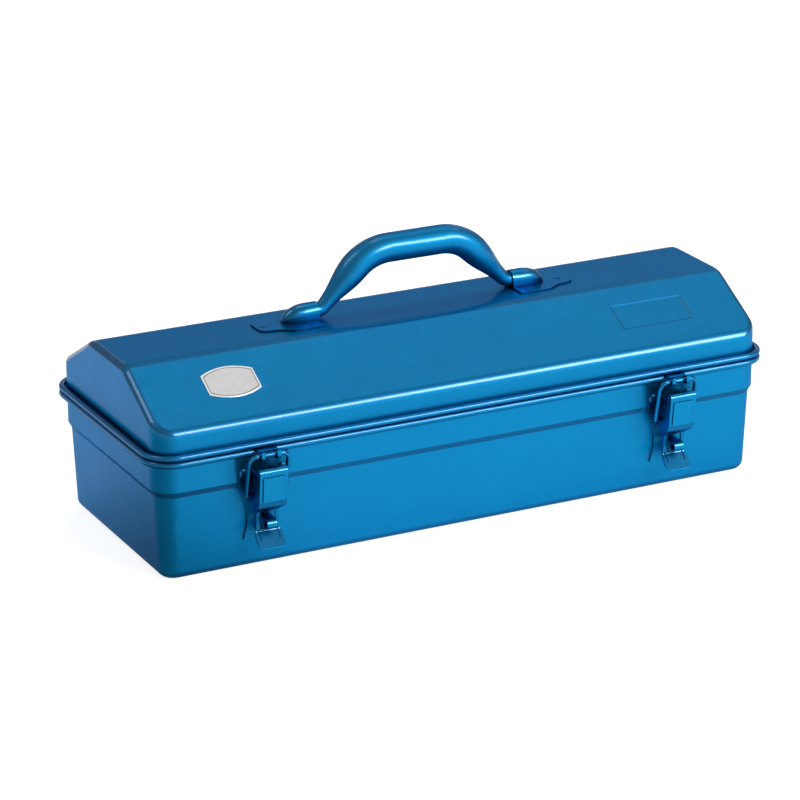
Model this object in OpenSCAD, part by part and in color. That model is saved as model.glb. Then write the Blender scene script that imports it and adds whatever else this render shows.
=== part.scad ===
// Steel tool box with a camber-top lid, a swinging tube handle and two draw latches.
// X runs along the length, the latches face -Y and Z points up.
// The origin is on the floor plane, under the middle of the body. All sizes are in millimetres.

/* [Box] */
// Length over the upper body walls
box_length = 420; // [400:1:480]
// Depth over the upper body walls
box_depth = 156; // [140:1:190]
// Outer radius of the upright corners
corner_radius = 14.5; // [12:0.5:20]
// Thickness of the body and lid sheet
sheet = 0.9; // [0.7:0.05:1.1]

/* [Body] */
// Height of the top of the rolled body edge
rim_height = 79; // [77:0.2:100]
// How far the rolled edges of body and lid stand out from the wall
rim_reach = 5.1; // [4.8:0.1:5.2]
// Outer radius of the rolled body edge
curl_radius = 2.05; // [1.8:0.05:2.3]
// Height of the lower edge of the step pressed round the walls
step_height = 54; // [48:0.2:55]
// Height of the sloped face of the step
step_rise = 4; // [2:0.5:5]
// Depth of the pressed step
step_depth = 2.1; // [1.2:0.1:2.4]
// How far the lower walls lean in between step and floor
wall_lean = 2; // [0.5:0.1:3]
// Outer radius of the bend between walls and floor
floor_radius = 6; // [4:0.5:8]

/* [Lid] */
// Gap between the body edge and the lid bead
seam = 0.3; // [0.2:0.05:0.6]
// Outer radius of the rolled edge round the lid
bead_radius = 1.9; // [1.7:0.05:2.1]
// Height of the lower ridge line above the lid's edge
ridge_rise = 16.7; // [14:0.1:20]
// Height of the flat top above the lid's edge
crown_rise = 44.7; // [38:0.1:50]
// Depth of the flat top between the upper ridge lines
crown_depth = 55; // [52:0.2:66]
// Outer radius of the lower ridge
ridge_radius = 7; // [6:0.5:9]
// Outer radius of the upper ridges
crown_radius = 20; // [12:0.5:24]
// Outer radius of the edges at the lid's two ends
end_radius = 5; // [3:0.1:5.8]
// Length of the raised panel on the front slope
panel_length = 51.5; // [40:0.5:60]
// Width of the raised panel up the slope
panel_width = 20.9; // [14:0.1:24]
// Distance of the raised panel's middle from the right end of the lid
panel_inset = 66; // [50:1:90]
// Distance of the raised panel's middle above the middle of the slope
panel_lift = 1.5; // [-3:0.1:3]
// Height of the raised panel above the slope
panel_rise = 0.7; // [0.3:0.1:0.9]
// Width of the raised panel's sloped edge
panel_edge = 1; // [0.6:0.1:1.5]

/* [Handle] */
// Distance between the saddle mouths
mouth_span = 136.5; // [132:0.5:150]
// Height of the grip's centre line above the turning axis
grip_rise = 33.7; // [32:0.1:42]
// Radius of the grip
grip_radius = 9.4; // [8.6:0.1:10]
// Distance between the upper bends, measured on the centre line
grip_span = 64.8; // [60:0.2:70]
// Bend radius of the upper bends, on the centre line
grip_bend = 33; // [26:0.5:36]
// Bend radius of the lower bends, on the centre line
foot_bend = 8; // [7:0.5:9]
// Radius of the feet that turn in the saddles
foot_radius = 4.8; // [4.4:0.1:5]
// Length of each foot inside its saddle
foot_length = 8; // [6:0.5:8.5]
// Height of the turning axis above the lid's top
axis_rise = 5.5; // [5.4:0.1:6.4]
// Running clearance round the feet
foot_play = 0.08; // [0.05:0.01:0.1]

/* [Saddles] */
// Sheet thickness of the saddles
saddle_sheet = 1.1; // [0.8:0.1:1.2]
// Length of the straight part of the saddle hump
hump_length = 9; // [9:0.5:12]
// Length of the hump's tapered nose
nose_length = 15.2; // [12:0.2:18]
// Half width of the saddle flange
flange_half = 16.5; // [15:0.5:19]
// Distance from the mouth to the tip of the tongue
tongue_reach = 42; // [40:0.5:46]
// Half width of the tongue
tongue_half = 9; // [7:0.5:10]

/* [Latches] */
// Distance of a latch's middle from the end of the box
latch_inset = 67.8; // [50:0.2:80]
// Sheet thickness of the latch bracket
bracket_sheet = 1.2; // [1:0.1:1.4]
// Sheet thickness of the lever
lever_sheet = 1.1; // [0.9:0.1:1.2]
// Width of the lever
lever_width = 18.4; // [17.6:0.2:20]
// Width of the lever's neck
neck_width = 14.8; // [14:0.2:16]
// Width of the finger tab
tab_width = 17.6; // [16:0.2:19]
// Width of the window for the padlock staple
window_width = 10; // [9:0.2:11]
// Radius of the rolled top edge of the lever
roll_radius = 2.6; // [2.3:0.1:2.8]
// Radius of the wire inside the rolled edge
roll_wire_radius = 1.5; // [1.2:0.1:1.6]
// Radius of the lever's pivot pin
pin_radius = 1.5; // [1.2:0.1:1.7]
// Running clearance of the latch pivots
pivot_play = 0.08; // [0.05:0.01:0.1]
// Radius of the bail wire
wire_radius = 1.4; // [1.2:0.05:1.45]
// Outer width of the bail
bail_width = 28.6; // [28:0.2:31]
// Bend radius of the bail's upper corners, on the centre line
bail_bend = 5; // [3:0.5:6]
// Sheet thickness of the hook on the lid
hook_sheet = 1; // [0.8:0.1:1]
// Width of the hook on the lid
hook_width = 12.8; // [11:0.2:14]
// Width of each hook finger
finger_width = 2.5; // [2:0.1:3]
// Outer radius of the padlock eye
eye_radius = 3.3; // [3.1:0.1:3.4]
// Radius of the padlock eye's bore
eye_bore = 2.2; // [2:0.1:2.4]
// Width of the padlock staple
staple_width = 6.4; // [5:0.2:7]

/* [Hinges] */
// Distance of a hinge's middle from the end of the box
hinge_inset = 80; // [60:1:120]
// Width of each hinge
hinge_width = 40; // [30:1:60]
// Sheet thickness of the hinge leaves
leaf_sheet = 1.2; // [1:0.1:1.4]
// Distance of the hinge axis behind the upper wall
hinge_offset = 8; // [7.6:0.1:9]
// Outer radius of the hinge knuckles
knuckle_radius = 2.6; // [2.4:0.1:3]
// Radius of the hinge pins
hinge_pin_radius = 1.5; // [1.2:0.1:1.6]
// Gap between neighbouring knuckles
knuckle_gap = 0.3; // [0.2:0.05:0.5]

/* [Fasteners] */
// Shank radius of the rivets
rivet_radius = 1.6; // [1.2:0.1:1.8]
// Head radius of the rivets
rivet_head_radius = 2.8; // [2.4:0.1:3]
// Head height of the rivets
rivet_head_height = 1; // [0.6:0.1:1.2]
// Head height of the flat rivets in the saddles
flat_head_height = 0.4; // [0.3:0.05:0.6]

/* [Hidden] */
$fn = 64;

LEFT = -1;
RIGHT = 1;
paint = "steelblue";
bright = "silver";
// Overlap that lets a cut pass clean through a face
cut = 1;
// Facets in a full turn of the lid's pressed form, outside and inside
form_facets = 24;
lining_facets = 16;
// Turn between neighbouring sections of the lid's corners
corner_step = 10;
// Facets round the handle's tube and along each of its bends
tube_facets = 28;
bend_steps = 8;

// Places along the box
latch_x = box_length / 2 - latch_inset;
hinge_x = box_length / 2 - hinge_inset;
panel_x = box_length / 2 - panel_inset;

// Lid levels
lid_base = rim_height + seam;
bead_top = lid_base + 2 * bead_radius;
ridge_z = lid_base + ridge_rise;
crown_z = lid_base + crown_rise;
slope_angle = atan2(crown_rise - ridge_rise, (box_depth - crown_depth) / 2);

// Handle levels
axis_z = crown_z + axis_rise;
mouth_x = mouth_span / 2;
nose_x = mouth_x + hump_length;
tongue_tip = mouth_x + tongue_reach;
saddle_bore = foot_radius + foot_play;
saddle_radius = saddle_bore + saddle_sheet;
saddle_grip = saddle_sheet + sheet;
flange_rivet_x = mouth_x + 8;
flange_rivet_y = flange_half - rivet_head_radius - 0.4;
tongue_rivet_x = tongue_tip - 2 * rivet_head_radius;
// Shares of the nose length at which the hump's nose is cut into sections
nose_shares = [0, 0.3, 0.55, 0.75, 0.9, 0.97, 1];

// Latch points as [distance outside the upper wall, height]
bail_bar = [11, rim_height - 2.4];
lever_pivot = [9, rim_height - 17.4];
bail_pivot = [5, rim_height - 28.9];
roll_centre = [15, rim_height - 11.9];
eye_centre = [10.5, rim_height - 46.7];
roll_front = roll_centre + [roll_radius, 0];
panel_foot = [15.6, rim_height - 30.4];
shoulder = [13.9, rim_height - 34.8];
neck_top = [7.2, rim_height - 39.2];
neck_foot = [6.3, rim_height - 52.2];
tab_edge = [15, rim_height - 61.4];
lever_bend = 2.5;
flange_depth = 3.4;
flange_edge = 2.3;
bracket_top = rim_height - 5.6;
bracket_foot = rim_height - 60;
ear_centre = 7.2;
ear_radius = pin_radius + 1.9;
pin_head_radius = pin_radius + 0.9;
pin_head_height = 0.9;
pin_head_gap = 0.3;
panel_half = 7;
window_top = neck_top[1] - 0.8;
window_foot = neck_foot[1] + 1;
slit_width = 0.9;
slit_top = neck_foot[1] + 1.2;
slit_foot = neck_foot[1] - 4.4;
bail_leg = bail_width / 2 - wire_radius;
hook_slack = 0.35;
hook_throw = 1;
hook_lip = 2.9;
hook_relief = 0.3;
trough_back = bail_bar[0] - wire_radius - hook_slack;
trough_radius = wire_radius + (hook_slack + hook_throw) / 2;
trough_centre = [trough_back + trough_radius, bail_bar[1] - wire_radius - 0.25 + trough_radius];
bracket_rivets = [[-13, rim_height - 15.4], [13, rim_height - 15.4], [0, rim_height - 54.9]];

// Hinge points as [distance outside the upper wall, height]
hinge_axis = [hinge_offset, rim_height + seam / 2];
leaf_foot = rim_height - 22.9;
leaf_bend = rim_height - 9;
leaf_rivet_z = rim_height - 15.4;
leaf_play = 0.1;
leaf_rivet_pitch = hinge_width / 3;
knuckle_width = (hinge_width - 2 * knuckle_gap) / 3;
hinge_grip = leaf_sheet + sheet;

// Two-dimensional helpers

function unit(v) = v / norm(v);

function left_normal(a, b) =
    let (d = unit(b - a))
    [-d[1], d[0]];

// Direction and length factor of the offset at one point of a path
function miter(path, i) =
    let (last = len(path) - 1)
    let (before = left_normal(path[max(i - 1, 0)], path[max(i, 1)]))
    let (after = left_normal(path[min(i, last - 1)], path[min(i + 1, last)]))
    (before + after) / (1 + before * after);

// Outline of a strip of sheet that lies to the left of a path
function strip(path, thickness) =
    concat(path, [for (i = [len(path) - 1:-1:0]) path[i] + thickness * miter(path, i)]);

// Points of a round bend at b on the way from a to c
function bend(a, b, c, radius, steps = 5) =
    let (u = unit(a - b), w = unit(c - b))
    let (half = acos(u * w) / 2)
    let (centre = b + unit(u + w) * radius / sin(half))
    let (start = b + u * radius / tan(half) - centre)
    let (end = b + w * radius / tan(half) - centre)
    let (first = atan2(start[1], start[0]))
    let (turn = (atan2(end[1], end[0]) - first + 540) % 360 - 180)
    [for (i = [0:steps])
        centre + radius * [cos(first + turn * i / steps), sin(first + turn * i / steps)]];

// A path with each inner corner rounded
function rounded(path, radius) =
    [path[0],
     for (i = [1:len(path) - 2]) each bend(path[i - 1], path[i], path[i + 1], radius),
     path[len(path) - 1]];

// Latch points turned to the front, where outward is -Y
function front(points) = [for (p = points) [-p[0], p[1]]];

// Inset of the lower wall from the upper wall at a height
function wall_inset(z) =
    z >= step_height + step_rise ? 0 :
    z >= step_height ? step_depth * (step_height + step_rise - z) / step_rise :
    step_depth + wall_lean * (step_height - z) / (step_height - floor_radius);

module ring(outer, inner) {
    difference() {
        circle(outer);
        circle(inner);
    }
}

// Extrudes a profile drawn in the YZ plane along X, centred on X = 0
module along_x(width) {
    rotate([90, 0, 90])
        linear_extrude(height = width, center = true)
            children();
}

// Extrudes an outline drawn in the XZ plane along Y, centred on Y = 0
module along_y(depth) {
    rotate([90, 0, 0])
        linear_extrude(height = depth, center = true)
            children();
}

// Cylinder along X through a point of the YZ plane
module rod_x(point, radius, width) {
    translate([0, point[0], point[1]])
        rotate([0, 90, 0])
            cylinder(r = radius, h = width, center = true);
}

// Sweeps a wall section round a rectangle with round corners
// In the section, x is the distance outside the wall line and y is the height
module round_sweep(length, depth, radius) {
    for (i = [0:3]) {
        x = (i == 0 || i == 3 ? 1 : -1) * (length / 2 - radius);
        y = (i < 2 ? 1 : -1) * (depth / 2 - radius);
        translate([x, y, 0])
            rotate(90 * i)
                rotate_extrude(angle = 90)
                    translate([radius, 0])
                        children();
        rotate(90 * i)
            translate([(i % 2 == 0 ? length : depth) / 2, 0, 0])
                rotate([90, 0, 0])
                    linear_extrude(height = (i % 2 == 0 ? depth : length) - 2 * radius, center = true)
                        children();
    }
}

// Rivet with its outer head on the plane z = 0 and its inner head below the grip
module rivet(grip, head_height = rivet_head_height) {
    translate([0, 0, -grip])
        cylinder(r = rivet_radius, h = grip);
    for (side = [0, 1])
        translate([0, 0, -grip * side])
            mirror([0, 0, side]) {
                cylinder(r = rivet_head_radius, h = head_height / 2);
                translate([0, 0, head_height / 2])
                    cylinder(
                        r1 = rivet_head_radius,
                        r2 = rivet_head_radius / 2,
                        h = head_height / 2
                    );
            }
}

// Body

module body_section() {
    foot_x = -step_depth - wall_lean;
    outer = [
        [foot_x, floor_radius],
        [-step_depth, step_height],
        [0, step_height + step_rise],
        [0, rim_height]
    ];
    inner = [for (i = [len(outer) - 1:-1:0]) outer[i] - [sheet, 0]];
    polygon(concat(outer, inner));
    translate([-corner_radius, 0])
        square([corner_radius + foot_x - floor_radius, sheet]);
    translate([foot_x - floor_radius, floor_radius])
        intersection() {
            ring(floor_radius, floor_radius - sheet);
            translate([0, -floor_radius])
                square(floor_radius);
        }
    translate([-sheet, rim_height - sheet])
        square([rim_reach - curl_radius + sheet, sheet]);
    translate([rim_reach - curl_radius, rim_height - curl_radius])
        ring(curl_radius, curl_radius - sheet);
}

// Places children on the wall below a latch, with z pointing out of the bracket's face
module at_bracket_rivet(side, spot) {
    lean = spot[1] < step_height ? atan2(wall_lean, step_height - floor_radius) : 0;
    translate([side * latch_x + spot[0], wall_inset(spot[1]) - box_depth / 2, spot[1]])
        rotate([90 + lean, 0, 0])
            translate([0, 0, bracket_sheet])
                children();
}

module at_hinge_rivets() {
    for (side = [LEFT, RIGHT], step = [-1:1])
        translate([
            side * hinge_x + step * leaf_rivet_pitch,
            box_depth / 2 + leaf_sheet,
            leaf_rivet_z
        ])
            rotate([-90, 0, 0])
                children();
}

module body_shell() {
    color(paint)
        difference() {
            union() {
                round_sweep(box_length, box_depth, corner_radius)
                    body_section();
                translate([corner_radius - box_length / 2, corner_radius - box_depth / 2, 0])
                    cube([box_length - 2 * corner_radius, box_depth - 2 * corner_radius, sheet]);
            }
            for (side = [LEFT, RIGHT]) {
                for (spot = bracket_rivets)
                    at_bracket_rivet(side, spot)
                        cylinder(r = rivet_radius, h = 6, center = true);
                translate([side * latch_x, -box_depth / 2, lid_base])
                    cube(
                        [hook_width + 4 * hook_relief,
                         2 * (rim_reach + cut),
                         2 * (hook_sheet + hook_relief)],
                        center = true
                    );
            }
            at_hinge_rivets()
                cylinder(r = rivet_radius, h = 6, center = true);
        }
}

// Lid

// Profile corners of the camber top, as [distance from the middle, height]
ridge_point = [box_depth / 2, ridge_z];
crown_point = [crown_depth / 2, crown_z];

// Centre of the round at corner b between a and c
function round_centre(a, b, c, radius) =
    let (u = unit(a - b), w = unit(c - b))
    b + unit(u + w) * radius / sin(acos(u * w) / 2);

// Height of the roof at a depth, set in by a thickness
function roof_z(y, inset, centre) =
    let (arc = ridge_radius - inset)
    y <= centre[0] + arc * sin(slope_angle)
        ? ridge_z + (box_depth / 2 - y) * tan(slope_angle) - inset / cos(slope_angle)
        : centre[1] + sqrt(max(0, arc * arc - pow(y - centre[0], 2)));

// Solid that the lid's sheet follows, set in by a thickness: balls run round the edge of its roof
module lid_form(inset, base, facets) {
    $fn = facets;
    ridge_centre = round_centre([ridge_point[0], lid_base], ridge_point, crown_point, ridge_radius);
    crown_centre = round_centre(ridge_point, crown_point, [0, crown_z], crown_radius);
    arc = crown_radius - end_radius;
    post = corner_radius - end_radius;
    hull() {
        for (x = [-1, 1], y = [-1, 1]) {
            translate([x * (box_length / 2 - corner_radius), y * (box_depth / 2 - corner_radius), base])
                cylinder(r = corner_radius - inset, h = ridge_centre[1] - base, $fn = 4 * facets);
            for (turn = [0:corner_step:90])
                let (depth = box_depth / 2 - corner_radius + post * sin(turn))
                    translate([
                        x * (box_length / 2 - corner_radius + post * cos(turn)),
                        y * depth,
                        roof_z(depth, end_radius, ridge_centre)
                    ])
                        sphere(end_radius - inset);
            for (turn = [0:slope_angle / 3:slope_angle + 0.01])
                translate([
                    x * (box_length / 2 - end_radius),
                    y * (crown_centre[0] + arc * sin(turn)),
                    crown_centre[1] + arc * cos(turn)
                ])
                    sphere(end_radius - inset);
        }
        translate([end_radius - box_length / 2, -crown_centre[0], crown_z - inset - sheet])
            cube([box_length - 2 * end_radius, 2 * crown_centre[0], sheet]);
    }
}

// Flange of the lid with its rolled edge
module bead_section() {
    translate([rim_reach - bead_radius, lid_base + bead_radius])
        ring(bead_radius, bead_radius - sheet);
    translate([-sheet, lid_base])
        square([rim_reach - bead_radius + sheet, sheet]);
}

module at_saddle_rivets() {
    for (side = [LEFT, RIGHT], spot = [
        [tongue_rivet_x, 0],
        [flange_rivet_x, flange_rivet_y],
        [flange_rivet_x, -flange_rivet_y]
    ])
        translate([side * spot[0], spot[1], crown_z + saddle_sheet])
            children();
}

module slope_panel() {
    middle = (ridge_point + crown_point) / 2;
    translate([panel_x, -middle[0], middle[1]])
        rotate([slope_angle, 0, 0])
            translate([0, panel_lift, 0])
                hull() {
                    cube([panel_length, panel_width, sheet / 2], center = true);
                    translate([0, 0, panel_rise / 2])
                        cube([panel_length - 2 * panel_edge, panel_width - 2 * panel_edge, panel_rise], center = true);
                }
}

module lid_shell() {
    color(paint)
        difference() {
            union() {
                difference() {
                    lid_form(0, lid_base, form_facets);
                    lid_form(sheet, lid_base - cut, lining_facets);
                }
                round_sweep(box_length, box_depth, corner_radius)
                    bead_section();
                slope_panel();
            }
            at_saddle_rivets()
                cylinder(r = rivet_radius, h = 3 * saddle_grip, center = true);
        }
}

// Handle and saddles

// Arc of a round bar in the XZ plane, from its centre, start angle and sweep
module bar_bend(centre, bend_radius, start, sweep, radius) {
    translate([centre[0], 0, centre[1]])
        rotate([90, 0, 0])
            rotate([0, 0, start])
                rotate_extrude(angle = sweep)
                    translate([bend_radius, 0])
                        circle(radius);
}

// Stations of the handle's right half, each as [x, z, slope angle, radius]
handle_top = [grip_span / 2, axis_z + grip_rise];
first_fall = atan2(grip_rise, mouth_x - handle_top[0]);
handle_foot = [mouth_x - foot_bend * tan(first_fall / 2), axis_z];
fall = atan2(grip_rise, handle_foot[0] - handle_top[0]);
grip_tangent = grip_bend * tan(fall / 2);
foot_tangent = foot_bend * tan(fall / 2);
leg_start = handle_top + grip_tangent * unit(handle_foot - handle_top);
leg_end = handle_foot - foot_tangent * unit(handle_foot - handle_top);
neck_radius = foot_radius - foot_play;

// Radius on the leg, from 0 at its upper end to 1 at its lower end, with soft ends
function leg_radius(t) =
    grip_radius + (neck_radius - grip_radius) * (t - sin(360 * t) / (4 * PI));

function handle_stations() = concat(
    [for (i = [0:bend_steps])
        let (a = fall * i / bend_steps)
        [handle_top[0] - grip_tangent + grip_bend * sin(a),
         handle_top[1] - grip_bend + grip_bend * cos(a), -a, grip_radius]],
    [for (i = [1:bend_steps])
        let (t = i / bend_steps)
        let (p = leg_start + t * (leg_end - leg_start))
        [p[0], p[1], -fall, leg_radius(t)]],
    [for (i = [1:bend_steps])
        let (a = fall * (1 - i / bend_steps))
        [handle_foot[0] + foot_tangent - foot_bend * sin(a),
         axis_z + foot_bend - foot_bend * cos(a), -a, neck_radius]],
    [[mouth_x + foot_length / 2, axis_z, 0, neck_radius]]
);

// Tube through all stations, left end first
module handle_tube() {
    right = handle_stations();
    last = len(right) - 1;
    left = [for (i = [last:-1:0]) [-right[i][0], right[i][1], -right[i][2], right[i][3]]];
    all = concat(left, right);
    points = [for (s = all, k = [0:tube_facets - 1])
        let (a = 360 * k / tube_facets)
        [s[0] - s[3] * cos(a) * sin(s[2]), s[3] * sin(a), s[1] + s[3] * cos(a) * cos(s[2])]];
    sides = [for (i = [0:len(all) - 2], k = [0:tube_facets - 1])
        let (a = i * tube_facets + k)
        let (b = i * tube_facets + (k + 1) % tube_facets)
        each [[a, b, a + tube_facets], [b, b + tube_facets, a + tube_facets]]];
    first_cap = [for (k = [tube_facets - 1:-1:0]) k];
    last_cap = [for (k = [0:tube_facets - 1]) (len(all) - 1) * tube_facets + k];
    polyhedron(points = points, faces = concat(sides, [first_cap, last_cap]));
}

module handle() {
    color(paint) {
        handle_tube();
        for (side = [LEFT, RIGHT])
            translate([side * (mouth_x + foot_length / 2), 0, axis_z])
                rotate([0, 90, 0])
                    cylinder(r = foot_radius, h = foot_length, center = true);
    }
}

// Flange of a saddle: wide beside the hump, then waved in to a round tongue
module saddle_plan() {
    half = rounded([
        [mouth_x, flange_half],
        [mouth_x + tongue_reach * 0.52, flange_half],
        [mouth_x + tongue_reach * 0.72, tongue_half + 2],
        [tongue_tip, tongue_half],
        [tongue_tip, tongue_half / 2]
    ], tongue_half / 2);
    polygon(concat(half, [for (i = [len(half) - 1:-1:0]) [half[i][0], -half[i][1]]]));
}

// Round-topped hump that tapers to its nose, for the outside and for the bore
module saddle_hump(radius, mouth, nose, depth) {
    stations = concat([[mouth, 1]], [for (s = nose_shares) [nose_x + nose * s, sqrt(1.002 - s * s)]]);
    hull()
        for (station = stations)
            translate([station[0], 0, crown_z])
                along_x(0.02)
                    scale(station[1]) {
                        intersection() {
                            translate([0, axis_rise])
                                circle(radius, $fn = 32);
                            translate([-radius, -depth])
                                square(2 * (axis_rise + radius));
                        }
                        translate([-radius, -depth])
                            square([2 * radius, axis_rise + depth]);
                    }
}

module saddle() {
    difference() {
        union() {
            saddle_hump(saddle_radius, mouth_x, nose_length, 0);
            translate([0, 0, crown_z])
                linear_extrude(height = saddle_sheet)
                    saddle_plan();
        }
        saddle_hump(saddle_bore, mouth_x - cut, nose_length - saddle_sheet, cut);
        translate([mouth_x - cut, 0, axis_z])
            rotate([0, 90, 0])
                cylinder(r = saddle_bore, h = hump_length + cut);
        at_saddle_rivets()
            cylinder(r = rivet_radius, h = 3 * saddle_grip, center = true);
    }
}

module handle_saddle(side) {
    color(paint)
        mirror([side == LEFT ? 1 : 0, 0, 0])
            saddle();
}

module saddle_rivets() {
    color(paint)
        at_saddle_rivets()
            rivet(saddle_grip, flat_head_height);
}

// Latches

module at_latch(side) {
    translate([side * latch_x, -box_depth / 2, 0])
        children();
}

// Front outline of the bracket, wide at the top, waisted and flared at the foot
module bracket_outline() {
    half = [
        [17, bracket_top],
        [16, rim_height - 24.4],
        [10.4, rim_height - 37.6],
        [9.5, rim_height - 49],
        [12, bracket_foot]
    ];
    polygon(concat(half, [for (i = [len(half) - 1:-1:0]) [-half[i][0], half[i][1]]]));
}

module bracket_plate() {
    levels = [bracket_top, step_height + step_rise, step_height, bracket_foot];
    path = [for (z = levels) [wall_inset(z), z]];
    intersection() {
        along_x(4 * lever_width)
            polygon(strip(path, -bracket_sheet));
        along_y(8 * bracket_sheet)
            bracket_outline();
    }
}

module bracket_ear() {
    along_x(bracket_sheet)
        difference() {
            union() {
                polygon([
                    [-bracket_sheet / 2, lever_pivot[1] + ear_radius],
                    [-bracket_sheet / 2, lever_pivot[1] - ear_radius - 2],
                    [-lever_pivot[0], lever_pivot[1] - ear_radius],
                    [-lever_pivot[0], lever_pivot[1] + ear_radius]
                ]);
                translate([-lever_pivot[0], lever_pivot[1]])
                    circle(ear_radius);
            }
            translate([-lever_pivot[0], lever_pivot[1]])
                circle(pin_radius);
        }
}

module padlock_staple() {
    shank_z = eye_centre[1] + eye_bore;
    along_x(staple_width)
        difference() {
            union() {
                translate([-eye_centre[0], eye_centre[1]])
                    circle(eye_radius);
                translate([-eye_centre[0], shank_z])
                    square([eye_centre[0] + wall_inset(shank_z) - bracket_sheet / 2, eye_radius - eye_bore]);
            }
            translate([-eye_centre[0], eye_centre[1]])
                circle(eye_bore);
        }
}

module latch_bracket(side) {
    color(paint)
        difference() {
            at_latch(side) {
                bracket_plate();
                for (x = [-ear_centre, ear_centre])
                    translate([x, 0, 0])
                        bracket_ear();
                padlock_staple();
            }
            for (spot = bracket_rivets)
                at_bracket_rivet(side, spot)
                    cylinder(r = rivet_radius, h = 6, center = true);
        }
}

module latch_rivets() {
    color(paint)
        for (side = [LEFT, RIGHT], spot = bracket_rivets)
            at_bracket_rivet(side, spot)
                rivet(bracket_sheet + sheet);
}

// Front outline of the lever: wide panel, waisted neck and finger tab
module lever_outline() {
    tab_foot = tab_edge[1] + 0.2;
    half = rounded([
        [lever_width / 2, roll_front[1]],
        [lever_width / 2, shoulder[1]],
        [neck_width / 2, neck_top[1]],
        [neck_width / 2, neck_foot[1] + 2],
        [tab_width / 2, neck_foot[1] - 2.5],
        [tab_width / 2, tab_foot],
        [tab_width / 4, tab_foot]
    ], lever_bend);
    polygon(concat(half, [for (i = [len(half) - 1:-1:0]) [-half[i][0], half[i][1]]]));
}

module lever_face() {
    path = front([roll_front, panel_foot, shoulder, neck_top, neck_foot, tab_edge]);
    difference() {
        intersection() {
            along_x(2 * lever_width)
                polygon(strip(rounded(path, lever_bend), lever_sheet));
            along_y(4 * roll_front[0])
                lever_outline();
        }
        translate([-window_width / 2, -roll_front[0], window_foot])
            cube([window_width, roll_front[0], window_top - window_foot]);
        for (x = [-1, 1])
            translate([x * (window_width + neck_width) / 4 - slit_width / 2, -roll_front[0], slit_foot])
                cube([slit_width, roll_front[0], slit_top - slit_foot]);
    }
}

// Raised panel pressed out of the lever's face
module lever_panel() {
    lean = atan2(roll_front[0] - panel_foot[0], roll_front[1] - panel_foot[1]);
    height = norm(roll_front - panel_foot) - roll_radius;
    translate([0, -panel_foot[0], panel_foot[1]])
        rotate([lean, 0, 0])
            translate([-panel_half, -panel_rise, 0])
                cube([2 * panel_half, panel_rise + lever_sheet / 2, height]);
}

module lever_flange() {
    front_edge = front([roll_centre, panel_foot, shoulder]) + [for (i = [0:2]) [lever_sheet / 2, 0]];
    back_edge = [
        [-neck_top[0] - lever_sheet, shoulder[1] - 2],
        [-flange_edge, bail_pivot[1] - 4],
        [-flange_edge, bail_pivot[1] + 3],
        [-lever_pivot[0] + 2.8, lever_pivot[1] + 3],
        [-roll_centre[0], lever_pivot[1] + 3.8]
    ];
    along_x(lever_sheet)
        difference() {
            polygon(concat(front_edge, back_edge));
            translate([-lever_pivot[0], lever_pivot[1]])
                circle(pin_radius + pivot_play);
            translate([-bail_pivot[0], bail_pivot[1]])
                circle(wire_radius + pivot_play);
        }
}

// Rib along the side of the neck
module neck_rib() {
    along_x(lever_sheet)
        polygon([
            [-shoulder[0] + 2, shoulder[1] - 0.6],
            [-neck_top[0] + lever_sheet / 2, neck_top[1]],
            [-neck_foot[0] + lever_sheet / 2, neck_foot[1] + 0.6],
            [-neck_foot[0] + flange_depth, neck_foot[1] + 1.6],
            [-neck_top[0] + flange_depth, neck_top[1] + 2],
            [-shoulder[0] + 4.6, shoulder[1] + 2]
        ]);
}

module latch_lever(side) {
    flange_x = (lever_width - lever_sheet) / 2;
    rib_x = (neck_width - lever_sheet) / 2;
    color(paint)
        at_latch(side)
            difference() {
                union() {
                    lever_face();
                    lever_panel();
                    for (x = [-1, 1]) {
                        translate([x * flange_x, 0, 0])
                            lever_flange();
                        translate([x * rib_x, 0, 0])
                            neck_rib();
                    }
                    rod_x(front([roll_centre])[0], roll_radius, lever_width);
                }
                rod_x(front([roll_centre])[0], roll_wire_radius, 2 * lever_width);
            }
}

module lever_wire(side) {
    color(paint)
        at_latch(side)
            rod_x(front([roll_centre])[0], roll_wire_radius, lever_width + 1);
}

module lever_pin(side) {
    head_x = (lever_width + pin_head_height) / 2 + pin_head_gap;
    color(paint)
        at_latch(side) {
            rod_x(front([lever_pivot])[0], pin_radius, 2 * head_x);
            for (x = [-head_x, head_x])
                translate([x, 0, 0])
                    rod_x(front([lever_pivot])[0], pin_head_radius, pin_head_height);
        }
}

// Bail drawn flat in the XZ plane with its pivot on the X axis
module bail_flat(height) {
    tip = lever_width / 2 - lever_sheet - 0.4;
    for (side = [0, 1])
        mirror([side, 0, 0]) {
            translate([tip, 0, 0])
                rotate([0, 90, 0])
                    cylinder(r = wire_radius, h = bail_leg - tip);
            translate([bail_leg, 0, 0])
                sphere(wire_radius);
            translate([bail_leg, 0, 0])
                cylinder(r = wire_radius, h = height - bail_bend);
            bar_bend([bail_leg - bail_bend, height - bail_bend], bail_bend, 0, 90, wire_radius);
            translate([0, 0, height])
                rotate([0, 90, 0])
                    cylinder(r = wire_radius, h = bail_leg - bail_bend);
        }
}

module latch_bail(side) {
    reach = bail_bar - bail_pivot;
    color(paint)
        at_latch(side)
            translate([0, -bail_pivot[0], bail_pivot[1]])
                rotate([atan2(reach[0], reach[1]), 0, 0])
                    bail_flat(norm(reach));
}

// Section of a hook finger: an open trough under the bail's bar
module finger_section() {
    outer = trough_radius + hook_sheet;
    translate([-trough_centre[0], trough_centre[1]])
        difference() {
            ring(outer, trough_radius);
            translate([-2 * outer, 0])
                square(4 * outer);
        }
    translate([-trough_back, trough_centre[1]])
        square([hook_sheet, lid_base - trough_centre[1]]);
    translate([-trough_centre[0] - outer, trough_centre[1]])
        square([hook_sheet, bail_bar[1] + hook_lip - trough_centre[1]]);
}

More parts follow.
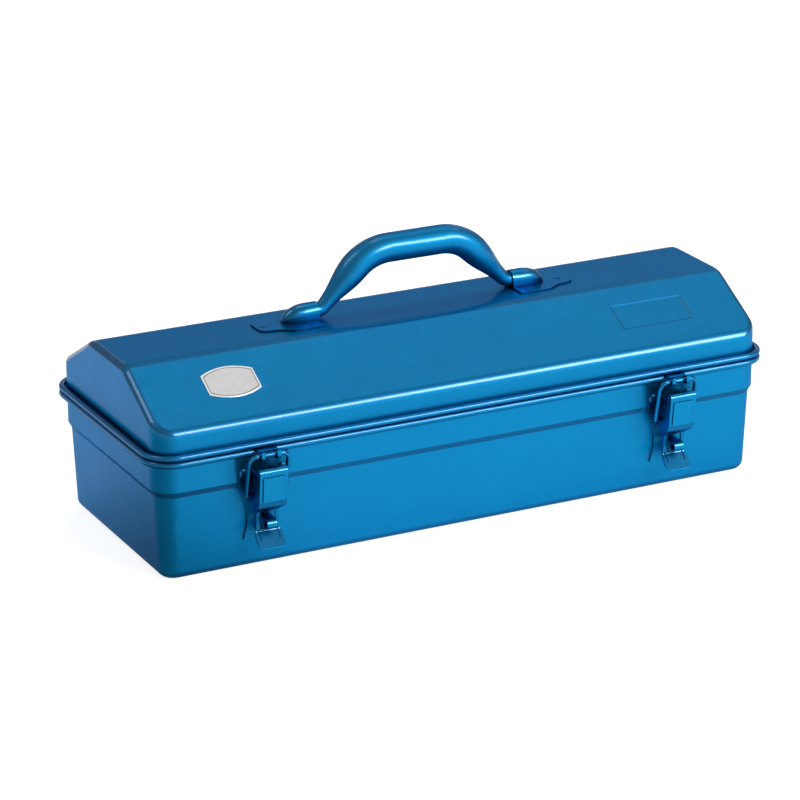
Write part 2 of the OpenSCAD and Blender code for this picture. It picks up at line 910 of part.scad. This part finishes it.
module lid_hook(side) {
    color(paint)
        at_latch(side) {
            translate([-hook_width / 2, -trough_back, lid_base - hook_sheet])
                cube([hook_width, trough_back + sheet, hook_sheet]);
            for (x = [-1, 1])
                translate([x * (hook_width - finger_width) / 2, 0, 0])
                    along_x(finger_width)
                        finger_section();
        }
}

// Hinges

module at_hinge(side) {
    translate([side * hinge_x, box_depth / 2, 0])
        children();
}

// Knuckles of a leaf, cut from a profile along the hinge
module body_knuckle_spans() {
    for (side = [-1, 1])
        translate([side * (hinge_width - knuckle_width) / 2, 0, 0])
            along_x(knuckle_width)
                children();
}

module hinge_body_leaf(side) {
    arm = [[0, leaf_foot], [0, leaf_bend], hinge_axis - [0.8, 1.5]];
    color(paint)
        difference() {
            at_hinge(side)
                difference() {
                    union() {
                        along_x(hinge_width)
                            polygon(strip([arm[0], arm[1]], -leaf_sheet));
                        body_knuckle_spans() {
                            polygon(strip(arm, -leaf_sheet));
                            translate(hinge_axis)
                                circle(knuckle_radius);
                        }
                    }
                    rod_x(hinge_axis, hinge_pin_radius, 2 * hinge_width);
                }
            at_hinge_rivets()
                cylinder(r = rivet_radius, h = 6, center = true);
        }
}

// Section of the lid leaf: lies on the wall, steps over the rolled edge and ends in the knuckle
module lid_leaf_section() {
    top = ridge_z - ridge_radius * tan((90 - slope_angle) / 2) - 0.3;
    back = hinge_axis[0] + knuckle_radius;
    path = [
        [0, top],
        [0, bead_top + leaf_play],
        [back - leaf_sheet, bead_top + leaf_play],
        [back - leaf_sheet, hinge_axis[1]]
    ];
    polygon(strip(path, leaf_sheet));
    translate(hinge_axis)
        circle(knuckle_radius);
}

module hinge_lid_leaf(side) {
    color(paint)
        at_hinge(side)
            difference() {
                along_x(knuckle_width)
                    lid_leaf_section();
                rod_x(hinge_axis, hinge_pin_radius + pivot_play, 2 * hinge_width);
            }
}

module hinge_pin(side) {
    color(bright)
        at_hinge(side)
            rod_x(hinge_axis, hinge_pin_radius, hinge_width + 1);
}

module hinge_rivets() {
    color(paint)
        at_hinge_rivets()
            rivet(hinge_grip);
}

body_shell();
lid_shell();
handle();
handle_saddle(LEFT);  // handle_saddle_left
handle_saddle(RIGHT);  // handle_saddle_right
saddle_rivets();
latch_bracket(LEFT);  // latch_bracket_left
latch_bracket(RIGHT);  // latch_bracket_right
latch_rivets();
latch_lever(LEFT);  // latch_lever_left
latch_lever(RIGHT);  // latch_lever_right
lever_wire(LEFT);  // lever_wire_left
lever_wire(RIGHT);  // lever_wire_right
lever_pin(LEFT);  // lever_pin_left
lever_pin(RIGHT);  // lever_pin_right
latch_bail(LEFT);  // latch_bail_left
latch_bail(RIGHT);  // latch_bail_right
lid_hook(LEFT);  // lid_hook_left
lid_hook(RIGHT);  // lid_hook_right
hinge_body_leaf(LEFT);  // hinge_body_leaf_left
hinge_body_leaf(RIGHT);  // hinge_body_leaf_right
hinge_lid_leaf(LEFT);  // hinge_lid_leaf_left
hinge_lid_leaf(RIGHT);  // hinge_lid_leaf_right
hinge_pin(LEFT);  // hinge_pin_left
hinge_pin(RIGHT);  // hinge_pin_right
hinge_rivets();
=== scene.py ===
import math

import bmesh
import bpy
from mathutils import Matrix, Vector


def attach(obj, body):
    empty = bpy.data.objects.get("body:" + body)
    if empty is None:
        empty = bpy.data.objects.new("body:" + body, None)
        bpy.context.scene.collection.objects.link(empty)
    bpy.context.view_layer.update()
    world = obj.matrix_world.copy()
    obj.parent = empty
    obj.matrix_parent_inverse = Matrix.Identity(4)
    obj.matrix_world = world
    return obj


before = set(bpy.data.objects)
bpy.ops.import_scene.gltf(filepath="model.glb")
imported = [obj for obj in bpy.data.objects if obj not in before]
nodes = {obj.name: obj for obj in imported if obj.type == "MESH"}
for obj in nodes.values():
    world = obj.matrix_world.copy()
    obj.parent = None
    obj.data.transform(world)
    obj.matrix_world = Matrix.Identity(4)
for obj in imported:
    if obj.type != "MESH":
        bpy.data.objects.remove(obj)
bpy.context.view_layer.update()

MM = 0.001
WHITE = (1.0, 1.0, 1.0, 1.0)

# Colours of the enamel with its painted shade and highlight, the plate and the hinge pins
ENAMEL = (0.0, 0.235, 0.5, 1.0)
ENAMEL_DEEP = (0.0, 0.17, 0.42, 1.0)
ENAMEL_GRAZING = (0.08, 0.5, 0.9, 1.0)
# Painted shade: a deeper blue mixed into upper bends
ENAMEL_BEND_SHADE = (0.01, 0.1, 0.28, 1.0)
# Painted shade: a dark enamel mixed into undersides, steps, seams and corners
ENAMEL_SHADE = (0.0, 0.045, 0.12, 1.0)
# Painted highlight: a lighter enamel mixed in along edges
ENAMEL_EDGE_HIGHLIGHT = (0.04, 0.36, 0.66, 1.0)
PLATE_SILVER = (0.74, 0.73, 0.74, 1.0)
PLATE_SHADE = (0.6, 0.59, 0.6, 1.0)
PLATE_RIM = (0.85, 0.87, 0.88, 1.0)
PLATE_LINE = (0.16, 0.15, 0.16, 1.0)
PIN_STEEL = (0.52, 0.52, 0.5, 1.0)
PIN_SHADE = (0.3, 0.3, 0.3, 1.0)

# Fineness of the noise in the finishes, in waves per metre
BROAD_TONE_SCALE = 9.0
GLOSS_SCALE = 60.0
# The next scale breaks up the painted edge highlight
EDGE_HIGHLIGHT_SCALE = 160.0
STAIN_SCALE = 180.0
PEEL_SCALE = 420.0
FLAKE_SCALE = 2600.0
GRAIN_SCALE = 4200.0
GRAIN_STRETCH = (0.02, 1.0, 1.0)

# Span of a noise value that is spread over the whole of an effect, and a narrower one for sharper patches
NOISE_SPAN = (0.3, 0.7)
PATCH_SPAN = (0.35, 0.65)

# Depth and strength of the bumps
PEEL_DEPTH = 0.04 * MM
PEEL_STRENGTH = 0.2
GRAIN_DEPTH = 0.02 * MM
GRAIN_STRENGTH = 0.3

# Likeness of the rounded and the true normal, from the flat sheet to an edge, which places the painted edge
# highlight
EDGE_SPAN = (0.99, 0.8)

# Openness of a spot from the flat sheet to a recess, and the upward share of the normal of an underside, for
# the painted shade
RECESS_SPAN = (0.92, 0.5)
UNDERSIDE_SPAN = (-0.12, -0.4)
UNDERSIDE_SHADE = 0.5

# Clear skin of the enamel: its gloss, its weight on flat faces, and what the ends have on top of that
SKIN_ROUGHNESS = 0.14
SKIN_IOR = 1.5
SKIN_FLAT = 0.14
SKIN_ENDS_MORE = 0.2

# Directions that flat faces look in, with signs left off, and likeness to them from a flat face to a bend
FLAT_DIRECTIONS = [(0.0, 0.0, 1.0), (0.0, 0.485, 0.875), (0.0, 1.0, 0.03), (1.0, 0.0, 0.03)]
BEND_SPAN = (0.996, 0.97)

# Upward share of the normal where bends count, and endward share where the ends begin
UPPER_SPAN = (0.05, 0.25)
END_SPAN = (0.9, 0.98)

# Edges sharper than this are shaded as creases, in degrees, and points nearer than the gap are one
CREASE = 38.0
SHELL_CREASE = 20.0
WELD_GAP = 0.004 * MM

# Front slope of the lid, from the lower ridge line to the upper one, in millimetres
SLOPE_LOW = Vector((0.0, -78.0, 96.0))
SLOPE_HIGH = Vector((0.0, -27.5, 124.0))
SLOPE_MIDDLE = (SLOPE_LOW + SLOPE_HIGH) / 2
SLOPE_UP = (SLOPE_HIGH - SLOPE_LOW).normalized()
SLOPE_OUT = Vector((1.0, 0.0, 0.0)).cross(SLOPE_UP)

# Panel on that slope, in millimetres: where its points lie, their heights, and the shift of the greatest height
PANEL_LEFT = 100.0
PANEL_Y = -52.0
PANEL_REACH = 16.0
PANEL_LOW = 0.1
PANEL_HIGH = 0.8
PANEL_PRESS = 1.5

# Bare plate on that slope, in millimetres: its middle, its half sizes and the bow of its long edges
PLATE_X = -148.9
PLATE_UP = 3.3
PLATE_HALF_WIDTH = 17.1
PLATE_HALF_HEIGHT = 8.0
PLATE_BOW = 4.5
PLATE_BOW_STEPS = 14

# Pale floor: half its side in metres, its tone, and its glow in the enamel and before the camera
FLOOR_HALF = 6.0
FLOOR_TONE = (0.9, 0.9, 0.9, 1.0)
FLOOR_GLOW = (0.48, 0.75)

# Dark card that the enamel mirrors: half its side, its height and its round spot in metres, and its density
CARD_HALF = 0.6
CARD_LIFT = 0.0002
CARD_TONE = (0.08, 0.08, 0.08, 1.0)
SPOT_PLACE = (-0.34, -0.1, 0.0)
SPOT_SPAN = (0.12, 0.24)
SPOT_DENSITY = 0.8

# Softboxes: place, aim, width and height in metres, and radiance; then the light from all round
SOFTBOXES = {
    "key_softbox": ((1.0, -1.7, 1.05), (0.0, 0.0, 0.08), (1.4, 0.6), 12.0),
    "back_softbox": ((1.0, 1.9, 0.9), (0.0, 0.0, 0.1), (2.2, 0.9), 0.45),
    "end_softbox": ((-1.2, 0.35, 1.7), (0.0, 0.0, 0.1), (0.5, 1.0), 2.5),
    "top_softbox": ((0.85, 0.45, 1.9), (0.85, 0.45, 0.0), (1.8, 0.85), 1.4),
}
SURROUNDING_LIGHT = 0.24

# Camera: its place and aim in millimetres, its roll in degrees, and its lens on a 36 mm sensor
CAMERA_PLACE = Vector((-942.44, -1852.70, 818.00))
CAMERA_AIM = Vector((-10.069, 0.0, 60.304))
CAMERA_ROLL = -0.259
CAMERA_LENS = 156.29
CAMERA_SENSOR = 36.0
CAMERA_FAR = 50.0


# Node helpers

def add_node(tree, kind, **settings):
    """A node of a kind, with its properties set by name."""
    node = tree.nodes.new(kind)
    for name, value in settings.items():
        setattr(node, name, value)
    return node


def link(tree, source, target):
    tree.links.new(source, target)


def new_group(name, inputs, outputs):
    """A shader node group with its sockets, and its input and output nodes."""
    tree = bpy.data.node_groups.new(name, "ShaderNodeTree")
    for label, kind, default in inputs:
        socket = tree.interface.new_socket(label, in_out="INPUT", socket_type=kind)
        socket.default_value = default
    for label, kind in outputs:
        tree.interface.new_socket(label, in_out="OUTPUT", socket_type=kind)
    return tree, add_node(tree, "NodeGroupInput"), add_node(tree, "NodeGroupOutput")


def noise(tree, coordinates, scale, detail=2.0, roughness=0.5):
    node = add_node(tree, "ShaderNodeTexNoise")
    node.inputs["Scale"].default_value = scale
    node.inputs["Detail"].default_value = detail
    node.inputs["Roughness"].default_value = roughness
    link(tree, coordinates, node.inputs["Vector"])
    return node.outputs["Fac"]


def remap(tree, value, span, target):
    """Maps a span of values to a target span; the ends of the target are numbers or sockets."""
    node = add_node(tree, "ShaderNodeMapRange")
    node.inputs["From Min"].default_value, node.inputs["From Max"].default_value = span
    link(tree, value, node.inputs["Value"])
    for label, end in zip(("To Min", "To Max"), target):
        feed(tree, end, node.inputs[label])
    return node.outputs["Result"]


def feed(tree, value, socket):
    """Gives a socket a number or the output of another node."""
    if isinstance(value, (int, float)):
        socket.default_value = value
    else:
        link(tree, value, socket)


def mix_colours(tree, factor, first, second):
    node = add_node(tree, "ShaderNodeMix", data_type="RGBA")
    link(tree, factor, node.inputs["Factor"])
    link(tree, first, node.inputs["A"])
    link(tree, second, node.inputs["B"])
    return node.outputs["Result"]


def calculate(tree, operation, first, second):
    node = add_node(tree, "ShaderNodeMath", operation=operation)
    feed(tree, first, node.inputs[0])
    feed(tree, second, node.inputs[1])
    return node.outputs["Value"]


def likeness(tree, first, second):
    """Dot product of two directions; the second may be a fixed one."""
    node = add_node(tree, "ShaderNodeVectorMath", operation="DOT_PRODUCT")
    link(tree, first, node.inputs[0])
    if isinstance(second, tuple):
        node.inputs[1].default_value = second
    else:
        link(tree, second, node.inputs[1])
    return node.outputs["Value"]


def split_axes(tree, vector):
    node = add_node(tree, "ShaderNodeSeparateXYZ")
    link(tree, vector, node.inputs["Vector"])
    return node.outputs


def object_place(tree):
    return add_node(tree, "ShaderNodeTexCoord").outputs["Object"]


def object_normal(tree):
    return add_node(tree, "ShaderNodeTexCoord").outputs["Normal"]


# Shared surface effects

def make_sprayed_coat():
    """Metal flake, broad tone and the orange-peel skin of sprayed enamel."""
    tree, given, result = new_group(
        "sprayed_coat",
        [
            ("Colour", "NodeSocketColor", ENAMEL),
            ("Deep Colour", "NodeSocketColor", ENAMEL_DEEP),
            ("Flake", "NodeSocketFloat", 0.35),
            ("Gloss Low", "NodeSocketFloat", 0.4),
            ("Gloss High", "NodeSocketFloat", 0.5),
        ],
        [("Colour", "NodeSocketColor"), ("Roughness", "NodeSocketFloat"), ("Height", "NodeSocketFloat")],
    )
    place = object_place(tree)
    flake = remap(tree, noise(tree, place, FLAKE_SCALE, 1.0), PATCH_SPAN, (-0.5, 0.5))
    sparkle = calculate(tree, "MULTIPLY", flake, given.outputs["Flake"])
    broad = remap(tree, noise(tree, place, BROAD_TONE_SCALE, 3.0), NOISE_SPAN, (0.25, 0.0))
    tone = add_node(tree, "ShaderNodeClamp")
    link(tree, calculate(tree, "ADD", broad, sparkle), tone.inputs["Value"])
    colour = mix_colours(tree, tone.outputs["Result"], given.outputs["Colour"], given.outputs["Deep Colour"])
    link(tree, colour, result.inputs["Colour"])
    gloss_ends = (given.outputs["Gloss Low"], given.outputs["Gloss High"])
    gloss = remap(tree, noise(tree, place, GLOSS_SCALE, 4.0), NOISE_SPAN, gloss_ends)
    link(tree, gloss, result.inputs["Roughness"])
    link(tree, noise(tree, place, PEEL_SCALE, 2.0, 0.45), result.inputs["Height"])
    return tree


def make_soft_edges():
    """Rounds edges in the shading and paints a lighter highlight colour along them, broken up by noise."""
    tree, given, result = new_group(
        "soft_edges",
        [
            ("Colour", "NodeSocketColor", ENAMEL),
            ("Edge Highlight Colour", "NodeSocketColor", ENAMEL_EDGE_HIGHLIGHT),
            ("Width", "NodeSocketFloat", 0.4 * MM),
            ("Amount", "NodeSocketFloat", 0.5),
        ],
        [("Colour", "NodeSocketColor"), ("Normal", "NodeSocketVector")],
    )
    bevel = add_node(tree, "ShaderNodeBevel", samples=6)
    link(tree, given.outputs["Width"], bevel.inputs["Radius"])
    link(tree, bevel.outputs["Normal"], result.inputs["Normal"])
    surface = add_node(tree, "ShaderNodeNewGeometry").outputs["Normal"]
    edge = remap(tree, likeness(tree, bevel.outputs["Normal"], surface), EDGE_SPAN, (0.0, 1.0))
    patchy = remap(tree, noise(tree, object_place(tree), EDGE_HIGHLIGHT_SCALE, 5.0), PATCH_SPAN, (0.3, 1.0))
    mask = calculate(tree, "MULTIPLY", calculate(tree, "MULTIPLY", edge, patchy), given.outputs["Amount"])
    # Mixes the painted edge highlight into the colour
    colour = mix_colours(tree, mask, given.outputs["Colour"], given.outputs["Edge Highlight Colour"])
    link(tree, colour, result.inputs["Colour"])
    return tree


def make_recess_shade():
    """Painted shade: darkens the enamel by ambient occlusion in steps, seams and corners, and on undersides."""
    tree, given, result = new_group(
        "recess_shade",
        [
            ("Colour", "NodeSocketColor", ENAMEL),
            ("Shade", "NodeSocketColor", ENAMEL_SHADE),
            ("Reach", "NodeSocketFloat", 3.0 * MM),
            ("Amount", "NodeSocketFloat", 1.0),
        ],
        [("Colour", "NodeSocketColor")],
    )
    openness = add_node(tree, "ShaderNodeAmbientOcclusion", samples=8)
    link(tree, given.outputs["Reach"], openness.inputs["Distance"])
    closed = remap(tree, openness.outputs["AO"], RECESS_SPAN, (0.0, 1.0))
    recess = calculate(tree, "MULTIPLY", closed, given.outputs["Amount"])
    upward = split_axes(tree, object_normal(tree))["Z"]
    underside = remap(tree, upward, UNDERSIDE_SPAN, (0.0, UNDERSIDE_SHADE))
    mask = calculate(tree, "MAXIMUM", recess, underside)
    # Mixes the painted shade into the colour
    colour = mix_colours(tree, mask, given.outputs["Colour"], given.outputs["Shade"])
    link(tree, colour, result.inputs["Colour"])
    return tree


def make_clear_skin():
    """Clear skin of the enamel: thin on flat faces, more on the ends and thick on upper bends, where a deeper
    blue is painted in as shade.
    """
    tree, given, result = new_group(
        "clear_skin",
        [
            ("Colour", "NodeSocketColor", ENAMEL),
            ("Bend Shade", "NodeSocketColor", ENAMEL_BEND_SHADE),
            ("Amount", "NodeSocketFloat", 1.0),
            ("Flat", "NodeSocketFloat", SKIN_FLAT),
            ("Rounded", "NodeSocketFloat", 1.0),
        ],
        [("Colour", "NodeSocketColor"), ("Weight", "NodeSocketFloat")],
    )
    surface = object_normal(tree)
    folded = add_node(tree, "ShaderNodeVectorMath", operation="ABSOLUTE")
    link(tree, surface, folded.inputs[0])
    nearest = 0.0
    for direction in FLAT_DIRECTIONS:
        nearest = calculate(tree, "MAXIMUM", likeness(tree, folded.outputs["Vector"], direction), nearest)
    bent = remap(tree, nearest, BEND_SPAN, (0.0, 1.0))
    upper = remap(tree, split_axes(tree, surface)["Z"], UPPER_SPAN, (0.0, 1.0))
    turned = calculate(tree, "MULTIPLY", bent, upper)
    weight = remap(tree, turned, (0.0, 1.0), (given.outputs["Flat"], given.outputs["Rounded"]))
    endward = split_axes(tree, folded.outputs["Vector"])["X"]
    ends = remap(tree, endward, END_SPAN, (0.0, SKIN_ENDS_MORE))
    link(tree, calculate(tree, "ADD", weight, ends), result.inputs["Weight"])
    # Mixes the painted shade on upper bends into the colour
    mask = calculate(tree, "MULTIPLY", turned, given.outputs["Amount"])
    colour = mix_colours(tree, mask, given.outputs["Colour"], given.outputs["Bend Shade"])
    link(tree, colour, result.inputs["Colour"])
    return tree


def make_brushed_grain():
    """Fine lines along X, as left by a brush or a drawing die."""
    tree, given, result = new_group(
        "brushed_grain",
        [
            ("Colour", "NodeSocketColor", PLATE_SILVER),
            ("Shade", "NodeSocketColor", PLATE_SHADE),
            ("Gloss Low", "NodeSocketFloat", 0.3),
            ("Gloss High", "NodeSocketFloat", 0.5),
        ],
        [("Colour", "NodeSocketColor"), ("Roughness", "NodeSocketFloat"), ("Height", "NodeSocketFloat")],
    )
    place = object_place(tree)
    stretch = add_node(tree, "ShaderNodeMapping")
    stretch.inputs["Scale"].default_value = GRAIN_STRETCH
    link(tree, place, stretch.inputs["Vector"])
    lines = noise(tree, stretch.outputs["Vector"], GRAIN_SCALE, 3.0)
    stains = remap(tree, noise(tree, place, STAIN_SCALE, 4.0), (0.4, 0.7), (0.0, 0.4))
    mask = calculate(tree, "ADD", remap(tree, lines, NOISE_SPAN, (0.0, 0.5)), stains)
    colour = mix_colours(tree, mask, given.outputs["Colour"], given.outputs["Shade"])
    link(tree, colour, result.inputs["Colour"])
    gloss_ends = (given.outputs["Gloss Low"], given.outputs["Gloss High"])
    link(tree, remap(tree, lines, NOISE_SPAN, gloss_ends), result.inputs["Roughness"])
    link(tree, lines, result.inputs["Height"])
    return tree


SPRAYED_COAT = make_sprayed_coat()
SOFT_EDGES = make_soft_edges()
RECESS_SHADE = make_recess_shade()
CLEAR_SKIN = make_clear_skin()
BRUSHED_GRAIN = make_brushed_grain()


# Materials

def new_material(name):
    material = bpy.data.materials.new(name)
    material.use_nodes = True
    tree = material.node_tree
    return material, tree, tree.nodes["Principled BSDF"]


def place_group(tree, group, **values):
    """A group in a material, with values for inputs named in snake case."""
    node = add_node(tree, "ShaderNodeGroup", node_tree=group)
    for name, value in values.items():
        node.inputs[name.replace("_", " ").title()].default_value = value
    return node


def bump(tree, height, distance, strength):
    node = add_node(tree, "ShaderNodeBump")
    node.inputs["Distance"].default_value = distance
    node.inputs["Strength"].default_value = strength
    link(tree, height, node.inputs["Height"])
    return node


def make_enamel(name, gloss, edge_highlight, edge_width, recess_reach, recess_amount, skin_rounded, bend_shading):
    """Blue metallic enamel under a clear skin."""
    material, tree, shader = new_material(name)
    coat = place_group(tree, SPRAYED_COAT, gloss_low=gloss[0], gloss_high=gloss[1])
    # Painted shade on upper bends comes with the clear skin
    skin = place_group(tree, CLEAR_SKIN, rounded=skin_rounded, amount=bend_shading)
    # Painted highlight along the edges
    edges = place_group(tree, SOFT_EDGES, amount=edge_highlight, width=edge_width)
    # Painted shade in recesses and on undersides
    recess = place_group(tree, RECESS_SHADE, reach=recess_reach, amount=recess_amount)
    layers = (coat, skin, edges, recess)
    for lower, upper in zip(layers, layers[1:]):
        link(tree, lower.outputs["Colour"], upper.inputs["Colour"])
    link(tree, recess.outputs["Colour"], shader.inputs["Base Color"])
    link(tree, coat.outputs["Roughness"], shader.inputs["Roughness"])
    link(tree, skin.outputs["Weight"], shader.inputs["Coat Weight"])
    shader.inputs["Metallic"].default_value = 1.0
    shader.inputs["Specular Tint"].default_value = ENAMEL_GRAZING
    shader.inputs["Coat Roughness"].default_value = SKIN_ROUGHNESS
    shader.inputs["Coat IOR"].default_value = SKIN_IOR
    peel = bump(tree, coat.outputs["Height"], PEEL_DEPTH, PEEL_STRENGTH)
    link(tree, edges.outputs["Normal"], peel.inputs["Normal"])
    link(tree, peel.outputs["Normal"], shader.inputs["Normal"])
    return material


def make_metal(name, metallic, **grain_values):
    """Plain metal with a drawn or brushed grain."""
    material, tree, shader = new_material(name)
    grain = place_group(tree, BRUSHED_GRAIN, **grain_values)
    link(tree, grain.outputs["Colour"], shader.inputs["Base Color"])
    link(tree, grain.outputs["Roughness"], shader.inputs["Roughness"])
    shader.inputs["Metallic"].default_value = metallic
    lines = bump(tree, grain.outputs["Height"], GRAIN_DEPTH, GRAIN_STRENGTH)
    link(tree, lines.outputs["Normal"], shader.inputs["Normal"])
    return material


def make_paper(name, tone):
    """Dull paper for the studio's floor and card."""
    material, tree, shader = new_material(name)
    shader.inputs["Base Color"].default_value = tone
    shader.inputs["Roughness"].default_value = 0.9
    shader.inputs["Specular IOR Level"].default_value = 0.0
    return material, tree, shader


SHELL_ENAMEL = make_enamel(
    "shell_enamel", gloss=(0.45, 0.51), edge_highlight=0.3, edge_width=0.4 * MM,
    recess_reach=3.0 * MM, recess_amount=0.25, skin_rounded=1.0, bend_shading=0.35,
)
HANDLE_ENAMEL = make_enamel(
    "handle_enamel", gloss=(0.48, 0.54), edge_highlight=0.3, edge_width=0.4 * MM,
    recess_reach=6.0 * MM, recess_amount=0.7, skin_rounded=0.8, bend_shading=0.0,
)
FITTING_ENAMEL = make_enamel(
    "fitting_enamel", gloss=(0.34, 0.42), edge_highlight=0.5, edge_width=0.35 * MM,
    recess_reach=12.0 * MM, recess_amount=1.0, skin_rounded=1.0, bend_shading=0.2,
)
HINGE_PIN_STEEL = make_metal("hinge_pin_steel", 1.0, colour=PIN_STEEL, shade=PIN_SHADE)
PLATE_FACE = make_metal("plate_silver", 0.2)
PLATE_EDGE = make_metal("plate_rim", 0.3, colour=PLATE_RIM, shade=PLATE_SILVER, gloss_low=0.2, gloss_high=0.35)
PLATE_INK = make_metal("plate_line", 0.1, colour=PLATE_LINE, shade=PLATE_LINE)


# CAD nodes

def press_panel_in():
    """Presses the panel on the front slope, which is raised in the solid, into the sheet."""
    lid = nodes["lid_shell"]
    group = lid.vertex_groups.new(name="panel")
    for vertex in lid.data.vertices:
        spot = (lid.matrix_world @ vertex.co) / MM
        height = (spot - SLOPE_MIDDLE).dot(SLOPE_OUT)
        near_panel = spot.x > PANEL_LEFT and abs(spot.y - PANEL_Y) < PANEL_REACH
        if near_panel and PANEL_LOW < height < PANEL_HIGH:
            group.add([vertex.index], height / PANEL_HIGH, "REPLACE")
    for axis, share in (("Y", SLOPE_OUT.y), ("Z", SLOPE_OUT.z)):
        press = lid.modifiers.new("press_panel_" + axis.lower(), "DISPLACE")
        press.vertex_group = group.name
        press.direction = axis
        press.mid_level = 0.0
        press.strength = -PANEL_PRESS * MM * share


def finish_node(name, material, crease_angle):
    """Gives a CAD node its finish and smooth shading between creases."""
    piece = nodes[name]
    piece.data.materials.clear()
    piece.data.materials.append(material)
    stored_normals = piece.data.attributes.get("custom_normal")
    if stored_normals:
        piece.data.attributes.remove(stored_normals)
    piece.data.shade_smooth()
    weld = piece.modifiers.new("weld_seams", "WELD")
    weld.merge_threshold = WELD_GAP
    crease = piece.modifiers.new("split_creases", "EDGE_SPLIT")
    crease.split_angle = math.radians(crease_angle)
    shading = piece.modifiers.new("flat_faces_first", "WEIGHTED_NORMAL")
    shading.keep_sharp = True


def dress_nodes():
    for name in nodes:
        if name in ("body_shell", "lid_shell"):
            finish_node(name, SHELL_ENAMEL, SHELL_CREASE)
        elif name == "handle":
            finish_node(name, HANDLE_ENAMEL, CREASE)
        elif name.startswith("hinge_pin"):
            finish_node(name, HINGE_PIN_STEEL, CREASE)
        else:
            finish_node(name, FITTING_ENAMEL, CREASE)


# Scene helpers

def add_to_scene(name, data):
    thing = bpy.data.objects.new(name, data)
    bpy.context.scene.collection.objects.link(thing)
    return thing


def piece_from(mesh, name, materials):
    """An object in the scene from mesh code, with its materials."""
    data = bpy.data.meshes.new(name)
    mesh.to_mesh(data)
    mesh.free()
    for material in materials:
        data.materials.append(material)
    return add_to_scene(name, data)


# Bare plate on the front slope

def slope_place(x, up, out):
    """Point on the front slope: x along the box, up from the slope's middle and out of it, in millimetres."""
    return (SLOPE_MIDDLE + Vector((x, 0.0, 0.0)) + SLOPE_UP * up + SLOPE_OUT * out) * MM


def barrel_outline(inset):
    """Points round the plate: straight sides and bowed long edges, drawn in by an inset."""
    half_width = PLATE_HALF_WIDTH - inset
    half_height = PLATE_HALF_HEIGHT - inset
    top = []
    for i in range(PLATE_BOW_STEPS + 1):
        t = -1 + 2 * i / PLATE_BOW_STEPS
        top.append((t * half_width, half_height + PLATE_BOW * (1 - t * t)))
    return top + [(x, -y) for x, y in reversed(top)]


def make_plate():
    face, rim, line = 0, 1, 2
    # Inset from the edge, height above the slope and finish of each ring
    rings = [
        (0.0, -0.05, rim), (0.0, 0.3, rim), (0.2, 0.45, rim), (0.9, 0.45, rim), (1.1, 0.36, rim),
        (1.2, 0.36, line), (1.6, 0.36, line), (6.0, 0.36, face),
    ]
    mesh = bmesh.new()
    loops = []
    for inset, out, _ in rings:
        points = [slope_place(PLATE_X + x, PLATE_UP + up, out) for x, up in barrel_outline(inset)]
        loops.append([mesh.verts.new(point) for point in points])
    for outer, inner, (_, _, finish) in zip(loops, loops[1:], rings[1:]):
        for i in range(len(outer)):
            j = (i + 1) % len(outer)
            mesh.faces.new((outer[i], outer[j], inner[j], inner[i])).material_index = finish
    mesh.faces.new(loops[-1]).material_index = face
    mesh.faces.new(list(reversed(loops[0]))).material_index = rim
    bmesh.ops.recalc_face_normals(mesh, faces=mesh.faces)
    plate = piece_from(mesh, "blank_plate", (PLATE_FACE, PLATE_EDGE, PLATE_INK))
    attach(plate, "lid")


# Stage, light and camera

def make_floor():
    """Pale floor, seen white by the camera apart from the box's soft shadow."""
    mesh = bmesh.new()
    bmesh.ops.create_grid(mesh, x_segments=8, y_segments=8, size=FLOOR_HALF)
    material, tree, shader = make_paper("floor_paper", FLOOR_TONE)
    shader.inputs["Emission Color"].default_value = WHITE
    seen = add_node(tree, "ShaderNodeLightPath").outputs["Is Camera Ray"]
    link(tree, remap(tree, seen, (0.0, 1.0), FLOOR_GLOW), shader.inputs["Emission Strength"])
    floor = piece_from(mesh, "floor", (material,))


def make_dark_card():
    """Dark card on the floor off the near corner, met only by the enamel's reflections."""
    mesh = bmesh.new()
    bmesh.ops.create_grid(mesh, x_segments=1, y_segments=1, size=CARD_HALF)
    material, tree, shader = make_paper("card_grey", CARD_TONE)
    reach = add_node(tree, "ShaderNodeVectorMath", operation="DISTANCE")
    link(tree, object_place(tree), reach.inputs[0])
    reach.inputs[1].default_value = SPOT_PLACE
    link(tree, remap(tree, reach.outputs["Value"], SPOT_SPAN, (SPOT_DENSITY, 0.0)), shader.inputs["Alpha"])
    card = piece_from(mesh, "dark_card", (material,))
    card.location.z = CARD_LIFT
    card.visible_camera = False
    card.visible_shadow = False
    card.visible_diffuse = False


def aim(place, target):
    """Turn of a lamp or camera at a place that makes it look at a target."""
    return (Vector(target) - Vector(place)).to_track_quat("-Z", "Y")


def make_softbox(name, place, target, size, radiance):
    """A rectangular softbox of a given radiance, aimed at a point."""
    data = bpy.data.lights.new(name, "AREA")
    data.shape = "RECTANGLE"
    data.size, data.size_y = size
    data.energy = radiance * math.pi * size[0] * size[1]
    lamp = add_to_scene(name, data)
    lamp.location = place
    lamp.rotation_euler = aim(place, target).to_euler()


def make_light():
    world = bpy.data.worlds.new("studio")
    bpy.context.scene.world = world
    world.use_nodes = True
    background = world.node_tree.nodes["Background"]
    background.inputs["Color"].default_value = WHITE
    background.inputs["Strength"].default_value = SURROUNDING_LIGHT
    for name, (place, target, size, radiance) in SOFTBOXES.items():
        make_softbox(name, place, target, size, radiance)


def make_camera():
    data = bpy.data.cameras.new("camera")
    data.sensor_width = CAMERA_SENSOR
    data.lens = CAMERA_LENS
    data.clip_end = CAMERA_FAR
    camera = add_to_scene("camera", data)
    place = CAMERA_PLACE * MM
    turn = aim(place, CAMERA_AIM * MM).to_matrix().to_4x4()
    roll = Matrix.Rotation(math.radians(CAMERA_ROLL), 4, "Z")
    camera.matrix_world = Matrix.Translation(place) @ turn @ roll
    bpy.context.scene.camera = camera


press_panel_in()
dress_nodes()
make_plate()
make_floor()
make_dark_card()
make_light()
make_camera()
bpy.context.scene.view_settings.view_transform = "Standard"
